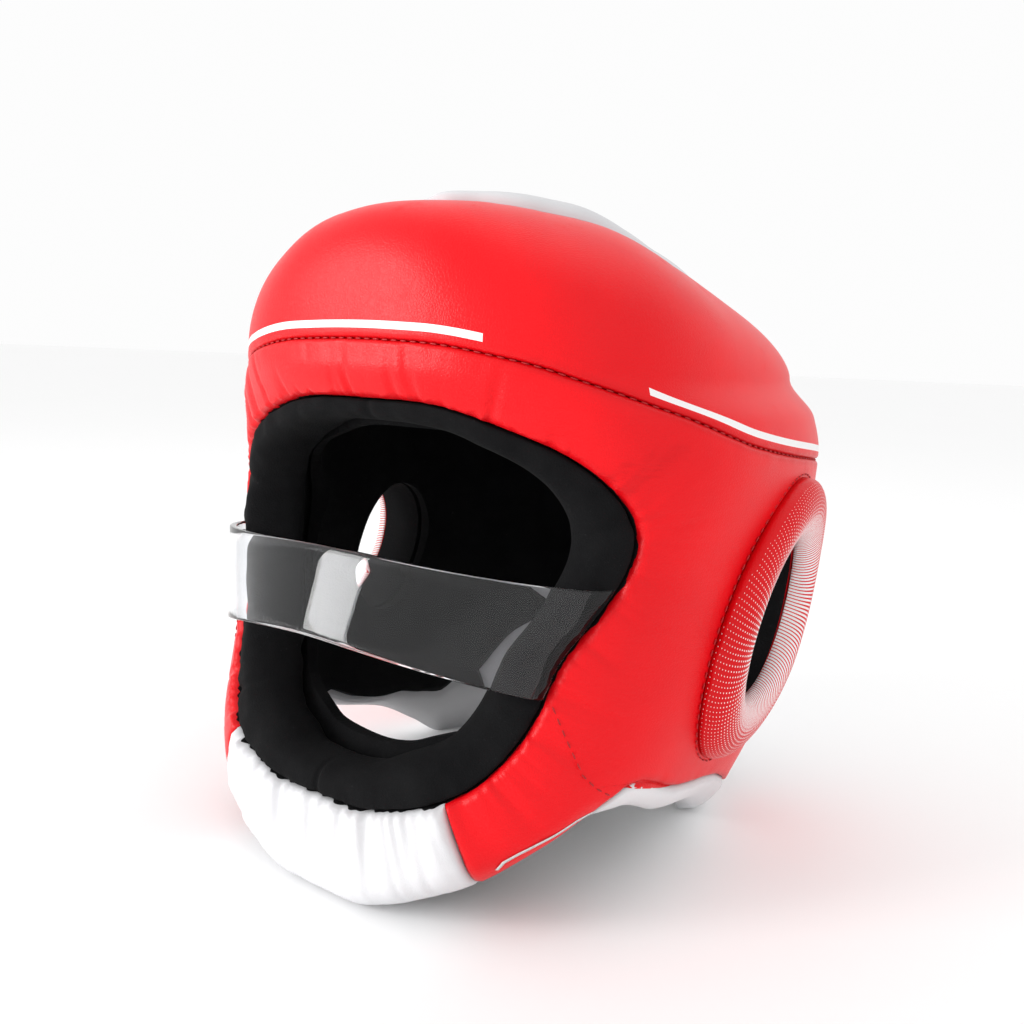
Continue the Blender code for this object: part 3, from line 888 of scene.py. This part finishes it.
def ribbon(name, places, half_width, rise, material):
    """A thin printed line that lies on the shell along (angle, level) places."""
    bm = bmesh.new()
    last = len(places) - 1
    bmesh.ops.create_grid(bm, x_segments=last, y_segments=1, size=0.5)
    for vert in bm.verts:
        index = round((vert.co.x + 0.5) * last)
        angle, level = places[index]
        before, after = places[max(index - 1, 0)], places[min(index + 1, last)]
        run = Vector(((after[0] - before[0]) * SHELL_HALF_WIDTH, after[1] - before[1])).normalized()
        shift = half_width * (1 if vert.co.y > 0 else -1)
        vert.co = shell_point(angle - run.y * shift / SHELL_HALF_WIDTH, level + run.x * shift, -rise)
    bmesh.ops.solidify(bm, geom=bm.faces[:], thickness=PRINT_THICKNESS)
    return finish_mesh(name, bm, material)


def shader_node(tree, kind, **settings):
    """Adds a node, whose own properties are set from the settings."""
    made = tree.nodes.new(kind)
    for name, value in settings.items():
        setattr(made, name, value)
    return made


def wire(tree, pairs):
    for source, target in pairs:
        tree.links.new(source, target)


def math_node(tree, operation, first, second=None):
    made = shader_node(tree, "ShaderNodeMath", operation=operation)
    for i, value in enumerate((first, second)):
        if value is None:
            continue
        if isinstance(value, bpy.types.NodeSocket):
            tree.links.new(value, made.inputs[i])
        else:
            made.inputs[i].default_value = value
    return made.outputs[0]


def smooth_range(tree, value, low, high, to_low=0.0, to_high=1.0):
    made = shader_node(tree, "ShaderNodeMapRange", interpolation_type="SMOOTHSTEP")
    tree.links.new(value, made.inputs["Value"])
    for name, number in (("From Min", low), ("From Max", high), ("To Min", to_low), ("To Max", to_high)):
        made.inputs[name].default_value = number
    return made.outputs["Result"]


def noise_value(tree, vector, scale, detail=3.0, roughness=0.55):
    made = shader_node(tree, "ShaderNodeTexNoise")
    tree.links.new(vector, made.inputs["Vector"])
    made.inputs["Scale"].default_value = scale
    made.inputs["Detail"].default_value = detail
    made.inputs["Roughness"].default_value = roughness
    return made.outputs["Fac"]


def make_group(name, inputs, outputs):
    group = bpy.data.node_groups.new(name, "ShaderNodeTree")
    for label, value in inputs:
        socket = group.interface.new_socket(label, in_out="INPUT", socket_type="NodeSocketFloat")
        socket.default_value = value
    for label in outputs:
        group.interface.new_socket(label, in_out="OUTPUT", socket_type="NodeSocketFloat")
    start = group.nodes.new("NodeGroupInput")
    end = group.nodes.new("NodeGroupOutput")
    return group, start, end


def make_leather_group():
    """Grain height, a slow tone change and worn places of coated leather, from Object coordinates."""
    group, start, end = make_group(
        "leather_surface",
        (("Grain Scale", 900.0), ("Crease Scale", 70.0), ("Crease Amount", 0.35)),
        ("Height", "Tone", "Wear"),
    )
    place = shader_node(group, "ShaderNodeTexCoord").outputs["Object"]
    cells = shader_node(group, "ShaderNodeTexVoronoi", feature="DISTANCE_TO_EDGE")
    wire(group, ((place, cells.inputs["Vector"]), (start.outputs["Grain Scale"], cells.inputs["Scale"])))
    valleys = smooth_range(group, cells.outputs["Distance"], 0.0, 0.25)
    fine = noise_value(group, place, 2400.0, 2.0)
    crease = shader_node(group, "ShaderNodeTexNoise", noise_type="RIDGED_MULTIFRACTAL")
    crease.inputs["Detail"].default_value = 4.0
    wire(group, ((place, crease.inputs["Vector"]), (start.outputs["Crease Scale"], crease.inputs["Scale"])))
    height = math_node(group, "ADD", valleys, math_node(group, "MULTIPLY", fine, 0.5))
    creased = math_node(group, "MULTIPLY", crease.outputs["Fac"], start.outputs["Crease Amount"])
    wire(group, ((math_node(group, "SUBTRACT", height, creased), end.inputs["Height"]),))
    wire(group, ((noise_value(group, place, 14.0, 4.0), end.inputs["Tone"]),))
    worn = smooth_range(group, noise_value(group, place, 60.0, 6.0, 0.7), 0.56, 0.74)
    wire(group, ((worn, end.inputs["Wear"]),))
    return group


def make_cloth_group():
    """Nap height and tone of the brushed black lining, from Object coordinates."""
    group, start, end = make_group(
        "brushed_cloth", (("Knit Scale", 1500.0), ("Nap Scale", 300.0)), ("Height", "Tone", "Lint")
    )
    place = shader_node(group, "ShaderNodeTexCoord").outputs["Object"]
    knit = shader_node(group, "ShaderNodeTexVoronoi", feature="F1")
    wire(group, ((place, knit.inputs["Vector"]), (start.outputs["Knit Scale"], knit.inputs["Scale"])))
    nap = shader_node(group, "ShaderNodeTexNoise")
    nap.inputs["Detail"].default_value = 5.0
    wire(group, ((place, nap.inputs["Vector"]), (start.outputs["Nap Scale"], nap.inputs["Scale"])))
    height = math_node(group, "ADD", knit.outputs["Distance"], nap.outputs["Fac"])
    wire(group, ((height, end.inputs["Height"]), (noise_value(group, place, 40.0, 5.0), end.inputs["Tone"])))
    lint = smooth_range(group, noise_value(group, place, 700.0, 1.0), 0.74, 0.80)
    wire(group, ((lint, end.inputs["Lint"]),))
    return group


def blank_material(name):
    material = bpy.data.materials.new(name)
    material.use_nodes = True
    tree = material.node_tree
    shader = tree.nodes["Principled BSDF"]
    return material, tree, shader


def set_inputs(shader, **values):
    for label, value in values.items():
        shader.inputs[label.replace("_", " ")].default_value = value


def mix_colour(tree, factor, first, second):
    """A mix of two colours; on a colour mix, inputs 6 and 7 and output 2 are the colour sockets."""
    made = shader_node(tree, "ShaderNodeMix", data_type="RGBA")
    tree.links.new(factor, made.inputs[0])
    for socket, colour in ((made.inputs[6], first), (made.inputs[7], second)):
        if isinstance(colour, bpy.types.NodeSocket):
            tree.links.new(colour, socket)
        else:
            socket.default_value = (*colour, 1.0)
    return made.outputs[2]


def add_bump(tree, shader, height, strength, distance):
    bump = shader_node(tree, "ShaderNodeBump")
    bump.inputs["Strength"].default_value = strength
    bump.inputs["Distance"].default_value = distance
    wire(tree, ((height, bump.inputs["Height"]), (bump.outputs["Normal"], shader.inputs["Normal"])))


def leather(name, colour, shade, roughness=0.36, printed=None, grain=0.35):
    """Coated leather of one colour with painted shade at its seams; printed adds a white print by a mask
    made in this material.
    """
    material, tree, shader = blank_material(name)
    surface = shader_node(tree, "ShaderNodeGroup", node_tree=LEATHER_SURFACE)
    set_inputs(surface, Grain_Scale=900.0, Crease_Scale=45.0, Crease_Amount=0.25)
    tone = smooth_range(tree, surface.outputs["Tone"], 0.3, 0.7)
    base = mix_colour(tree, tone, shade, colour)
    # Painted seam shade: within 4 mm of a seam the colour is mixed, by up to 35%, towards 0.6 of the shade
    # colour
    reach = shader_node(tree, "ShaderNodeAttribute", attribute_name="seam_distance")
    painted_seam_shade = smooth_range(tree, reach.outputs["Fac"], 0.0, 0.004, 0.35, 0.0)
    base = mix_colour(tree, painted_seam_shade, base, tuple(value * 0.6 for value in shade))
    rough = smooth_range(tree, surface.outputs["Wear"], 0.0, 1.0, roughness, roughness + 0.10)
    if printed:
        mask = printed(tree)
        base = mix_colour(tree, mask, base, WHITE_PRINT)
    wire(tree, ((base, shader.inputs["Base Color"]), (rough, shader.inputs["Roughness"])))
    set_inputs(shader, Coat_Weight=0.03, Coat_Roughness=0.30, Specular_IOR_Level=0.20)
    add_bump(tree, shader, surface.outputs["Height"], grain, 0.00012)
    return material


def brow_line_mask(tree):
    """The white line printed just above the brow seam, with its gap on the wearer's left."""
    away = shader_node(tree, "ShaderNodeAttribute", attribute_name="seam_distance").outputs["Fac"]
    share = shader_node(tree, "ShaderNodeAttribute", attribute_name="share_across").outputs["Fac"]
    low = math_node(tree, "GREATER_THAN", away, BROW_LINE_RISE - BROW_LINE_WIDTH / 2)
    high = math_node(tree, "LESS_THAN", away, BROW_LINE_RISE + BROW_LINE_WIDTH / 2)
    before = math_node(tree, "LESS_THAN", share, (SIDE_END + LINE_GAP_START) / (2 * SIDE_END))
    after = math_node(tree, "GREATER_THAN", share, (SIDE_END + LINE_GAP_END) / (2 * SIDE_END))
    from_middle = math_node(tree, "ABSOLUTE", math_node(tree, "SUBTRACT", share, 0.5))
    before_end = math_node(tree, "LESS_THAN", from_middle, 0.5 - LINE_END)
    share_up = shader_node(tree, "ShaderNodeAttribute", attribute_name="share_up").outputs["Fac"]
    near_low = math_node(tree, "LESS_THAN", share_up, LINE_TOP_SHARE)
    near_low = math_node(tree, "MULTIPLY", before_end, near_low)
    line = math_node(tree, "MULTIPLY", low, high)
    shown = math_node(tree, "MAXIMUM", before, after)
    return math_node(tree, "MULTIPLY", math_node(tree, "MULTIPLY", line, shown), near_low)


def ring_dots_mask(tree):
    """Fine rays round the ear hole that break up into dots and fade towards the ring's edge."""
    uv = shader_node(tree, "ShaderNodeUVMap", uv_map="ring").outputs["UV"]
    parts = shader_node(tree, "ShaderNodeSeparateXYZ")
    tree.links.new(uv, parts.inputs[0])
    turn, tube = parts.outputs["X"], parts.outputs["Y"]
    share = math_node(tree, "MULTIPLY", tube, 2.0)
    slant = math_node(tree, "MULTIPLY", share, RAY_SLANT)
    ray = math_node(tree, "ADD", math_node(tree, "MULTIPLY", turn, float(RAY_COUNT)), slant)
    across = math_node(tree, "SUBTRACT", math_node(tree, "FRACT", ray), 0.5)
    row = math_node(tree, "MULTIPLY", share, DOT_ROWS)
    along = math_node(tree, "SUBTRACT", math_node(tree, "FRACT", row), 0.5)
    along = math_node(tree, "MULTIPLY", along, smooth_range(tree, share, 0.30, 0.62))
    squares = [math_node(tree, "POWER", part, 2.0) for part in (across, along)]
    distance = math_node(tree, "SQRT", math_node(tree, "ADD", *squares))
    low_side = math_node(tree, "SINE", math_node(tree, "MULTIPLY", turn, 2 * math.pi))
    fade_end = smooth_range(tree, low_side, -0.9, 0.6, 1.06, 0.84)
    fade = math_node(tree, "DIVIDE", share, fade_end)
    size = smooth_range(tree, fade, 0.05, 1.0, 0.34, 0.10)
    mask = math_node(tree, "LESS_THAN", distance, size)
    mask = math_node(tree, "MULTIPLY", mask, math_node(tree, "LESS_THAN", fade, 1.0))
    front = math_node(tree, "LESS_THAN", tube, 0.5)
    return math_node(tree, "MULTIPLY", mask, front)


def cloth(name, knit=1500.0):
    material, tree, shader = blank_material(name)
    surface = shader_node(tree, "ShaderNodeGroup", node_tree=BRUSHED_CLOTH)
    set_inputs(surface, Knit_Scale=knit, Nap_Scale=300.0)
    tone = smooth_range(tree, surface.outputs["Tone"], 0.3, 0.7)
    base = mix_colour(tree, tone, BLACK_CLOTH_SHADE, BLACK_CLOTH)
    lint = math_node(tree, "MULTIPLY", surface.outputs["Lint"], 0.25)
    base = mix_colour(tree, lint, base, LINT_GREY)
    rough = smooth_range(tree, surface.outputs["Tone"], 0.0, 1.0, 0.80, 0.95)
    wire(tree, ((base, shader.inputs["Base Color"]), (rough, shader.inputs["Roughness"])))
    set_inputs(shader, Sheen_Weight=0.01, Sheen_Roughness=0.5, Specular_IOR_Level=0.08)
    add_bump(tree, shader, surface.outputs["Height"], 0.5, 0.00025)
    return material


def thread(name, colour):
    material, tree, shader = blank_material(name)
    place = shader_node(tree, "ShaderNodeTexCoord").outputs["Object"]
    twist = noise_value(tree, place, 3000.0, 2.0)
    base = mix_colour(tree, smooth_range(tree, twist, 0.35, 0.65), tuple(v * 0.6 for v in colour), colour)
    wire(tree, ((base, shader.inputs["Base Color"]),))
    set_inputs(shader, Roughness=0.6)
    add_bump(tree, shader, twist, 0.6, 0.0001)
    return material


def clear_plastic():
    material, tree, shader = blank_material("clear_bar_plastic")
    place = shader_node(tree, "ShaderNodeTexCoord").outputs["Object"]
    scuffs = smooth_range(tree, noise_value(tree, place, 220.0, 6.0, 0.75), 0.60, 0.80, 0.006, 0.030)
    wire(tree, ((scuffs, shader.inputs["Roughness"]),))
    set_inputs(shader, Base_Color=BAR_TINT, Transmission_Weight=1.0, IOR=BAR_IOR)
    add_bump(tree, shader, noise_value(tree, place, 18.0, 1.0), 0.08, 0.0006)
    return material


def plain_stage(name, colour):
    material, tree, shader = blank_material(name)
    place = shader_node(tree, "ShaderNodeTexCoord").outputs["Object"]
    base = mix_colour(tree, noise_value(tree, place, 1.5, 2.0), colour, tuple(v * 0.99 for v in colour))
    wire(tree, ((base, shader.inputs["Base Color"]),))
    set_inputs(shader, Roughness=0.9, Specular_IOR_Level=0.1)
    return material


LEATHER_SURFACE = make_leather_group()
BRUSHED_CLOTH = make_cloth_group()
red_leather = leather("red_leather", RED, RED_SHADE)
brow_leather = leather("red_brow_leather", RED, RED_SHADE, printed=brow_line_mask)
ring_leather = leather("red_ring_leather", RED, RED_SHADE, printed=ring_dots_mask)
white_leather = leather("white_leather", WHITE, WHITE_SHADE, roughness=0.40, grain=0.25)
black_cloth = cloth("black_lining_cloth")
liner_cloth = cloth("black_liner_cloth", knit=1100.0)
dark_red_thread = thread("dark_red_thread", RED_THREAD)
white_print = thread("white_print", JAW_PRINT)

# Each border's roll, and its gathers as (reach, scale, depth) in metres
brow_cover = pad(
    "brow_cover",
    BROW_GRID,
    brow_place,
    {"low": SEAM_ROLL, "high": RIM_ROLL, "left": SEAM_ROLL, "right": SEAM_ROLL},
    {"high": (0.010, 0.007, 0.0005), "low": (0.006, 0.006, 0.00025)},
    brow_leather,
    ALL_SIDES,
)
cheek_cover = pad(
    "cheek_cover",
    CHEEK_GRID,
    cheek_place,
    {"low": OPENING_ROLL, "high": SEAM_ROLL, "left": SEAM_ROLL, "right": SEAM_ROLL},
    {"low": (0.019, 0.0050, 0.0022), "high": (0.006, 0.006, 0.00025)},
    red_leather,
    ALL_SIDES,
)
chin_cover = pad(
    "chin_cover",
    CHIN_GRID,
    chin_place,
    {"high": OPENING_ROLL, "left": SEAM_ROLL, "right": SEAM_ROLL},
    {"high": (0.022, 0.0056, 0.0031), "left": (0.008, 0.006, 0.0004), "right": (0.008, 0.006, 0.0004)},
    white_leather,
    ("high", "left", "right"),
)
rear_cover = pad(
    "rear_cover",
    REAR_GRID,
    rear_place,
    {"low": SEAM_ROLL, "high": RIM_ROLL, "left": SEAM_ROLL, "right": SEAM_ROLL},
    {side: (0.009, 0.006, 0.0005) for side in ALL_SIDES},
    white_leather,
    ALL_SIDES,
)
nape_cover = pad(
    "nape_cover",
    NAPE_GRID,
    nape_place,
    {"high": SEAM_ROLL},
    {"high": (0.006, 0.006, 0.0005)},
    white_leather,
    (),
    dents=0.0004,
    easing=False,
)
crown_cover = make_crown_pad(white_leather)
lining = make_face_lining(black_cloth)
liner = make_inner_liner(liner_cloth)
left_ring = make_ear_ring("ear_ring_left_cover", 1, ring_leather)
right_ring = make_ear_ring("ear_ring_right_cover", -1, ring_leather)
bar = make_face_bar(clear_plastic())

cutters = (
    ear_cutter("ear_cutter_left", 1, liner_cloth),
    ear_cutter("ear_cutter_right", -1, liner_cloth),
    face_cutter(liner_cloth),
)
cut(cheek_cover, *cutters[:2])
cut(liner, *cutters)
for tool in cutters:
    bpy.data.objects.remove(tool)

for piece, node, fill in (
    (brow_cover, "brow_pad", 0.9),
    (cheek_cover, "cheek_shell", 0.9),
    (chin_cover, "chin_pad", 0.9),
    (rear_cover, "rear_pad", 0.9),
    (nape_cover, "nape_band", 0.8),
    (crown_cover, "crown_pad", 0.9),
    (lining, "face_lining", 0.8),
    (liner, "inner_liner", 0.5),
    (left_ring, "ear_ring_left", 0.9),
    (right_ring, "ear_ring_right", 0.9),
):
    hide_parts(node)
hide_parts("face_bar")

# The stitched rows
brow_places = [(math.radians(turn), brow_seam(math.radians(turn))) for turn in range(-128, 129, 2)]
points, outward = on_shell(brow_places, -BROW_STITCH_SINK)
stitch_row("brow_stitches", points, outward, dark_red_thread)
for side, hand in ((1, "left"), (-1, "right")):
    places = []
    for start, end in zip(CHEEK_SEAM, CHEEK_SEAM[1:]):
        for step in range(5):
            x, y, z = (mix(a, b, step / 5) for a, b in zip(start, end))
            places.append((math.atan2(side * x, -y), z))
    points, outward = on_shell(places, 0.0)
    stitch_row(f"cheek_stitches_{hand}", points, outward, dark_red_thread)
    half_sizes = (RING_HALF_WIDTH + EAR_STITCH_OUTSET, RING_HALF_HEIGHT + EAR_STITCH_OUTSET)
    spins = [math.radians(turn) for turn in range(0, 361, 4)]
    ellipse = [ear_point(side, spin, *half_sizes, STITCH_RISE) for spin in spins]
    outs = [Vector((side, 0.0, 0.0))] * len(ellipse)
    stitch_row(f"ear_stitches_{hand}", ellipse, outs, dark_red_thread)
    jaw = [(math.atan2(side * x, -y), z) for x, y, z in JAW_LINE]
    smooth_jaw = []
    for start, end in zip(jaw, jaw[1:]):
        smooth_jaw += [(mix(start[0], end[0], s / 6), mix(start[1], end[1], s / 6)) for s in range(6)]
    ribbon(f"jaw_line_{hand}", smooth_jaw, JAW_LINE_HALF_WIDTH, PRINT_THICKNESS, white_print)

# Floor, sky, lights and camera
stage_mesh = bmesh.new()
bmesh.ops.create_circle(stage_mesh, cap_ends=True, segments=96, radius=STAGE_RADIUS)
mesh = bpy.data.meshes.new("studio_floor")
stage_mesh.to_mesh(mesh)
stage_mesh.free()
mesh.materials.append(plain_stage("studio_white", STAGE_WHITE))
floor = bpy.data.objects.new("studio_floor", mesh)
bpy.context.scene.collection.objects.link(floor)

world = bpy.data.worlds.new("studio_light")
world.use_nodes = True
world.node_tree.nodes["Background"].inputs["Color"].default_value = (1.0, 1.0, 1.0, 1.0)
world.node_tree.nodes["Background"].inputs["Strength"].default_value = WORLD_STRENGTH
bpy.context.scene.world = world


def area_light(name, place, width, height, power):
    lamp = bpy.data.lights.new(name, "AREA")
    lamp.shape = "RECTANGLE"
    lamp.size, lamp.size_y = width, height
    lamp.energy = power
    obj = bpy.data.objects.new(name, lamp)
    obj.location = place
    obj.rotation_euler = (Vector(LIGHT_TARGET) - Vector(place)).to_track_quat("-Z", "Y").to_euler()
    bpy.context.scene.collection.objects.link(obj)


for name, place, width, height, power in LIGHTS:
    area_light(name, place, width, height, power)

camera_data = bpy.data.cameras.new("camera")
camera_data.sensor_width = SENSOR_WIDTH
camera_data.lens = SENSOR_WIDTH * CAMERA_FOCUS / PICTURE_WIDTH
camera_data.clip_start = 0.01
camera = bpy.data.objects.new("camera", camera_data)
turned = Matrix((CAMERA_RIGHT, CAMERA_UP, CAMERA_BACK)).transposed().to_4x4()
camera.matrix_world = Matrix.Translation(Vector(CAMERA_PLACE) + FRAME_SHIFT) @ turned
bpy.context.scene.collection.objects.link(camera)
bpy.context.scene.camera = camera
bpy.context.scene.view_settings.view_transform = "Standard"
bpy.context.scene.view_settings.look = "None"

bpy.context.view_layer.update()
